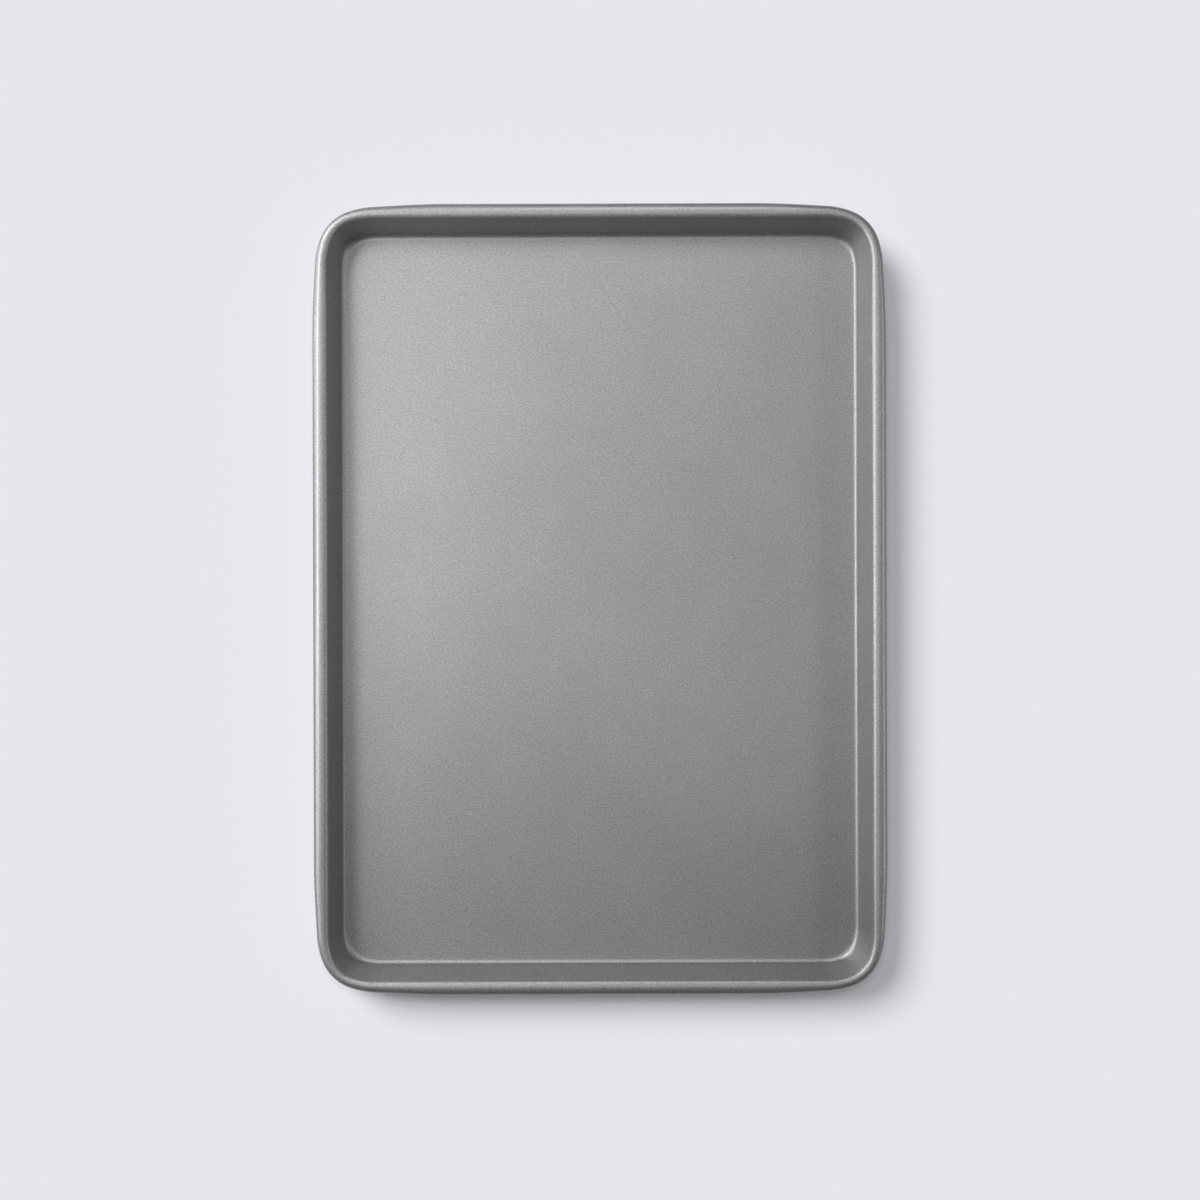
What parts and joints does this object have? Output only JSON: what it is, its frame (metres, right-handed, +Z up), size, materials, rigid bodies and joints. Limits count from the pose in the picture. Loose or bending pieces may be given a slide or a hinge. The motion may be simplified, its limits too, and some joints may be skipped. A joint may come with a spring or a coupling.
{
  "type": "sheet pan",
  "caption": "Shallow rectangular baking tray with rounded corners, leaning walls and a rim rolled round a stiffening wire, for baking and roasting food.",
  "frame": {"origin": "middle of the pan's underside, on the surface that it stands on", "axes": "+Z up out of the open tray, +Y along the pan's length, +X across it"},
  "size_m": [0.3314, 0.457, 0.0254],
  "materials": {
    "coated_steel": "satin",
    "wire": "satin"
  },
  "bodies": {
    "root": {"pan_body": "coated_steel", "rim_wire": "wire"}
  },
  "joints": []
}
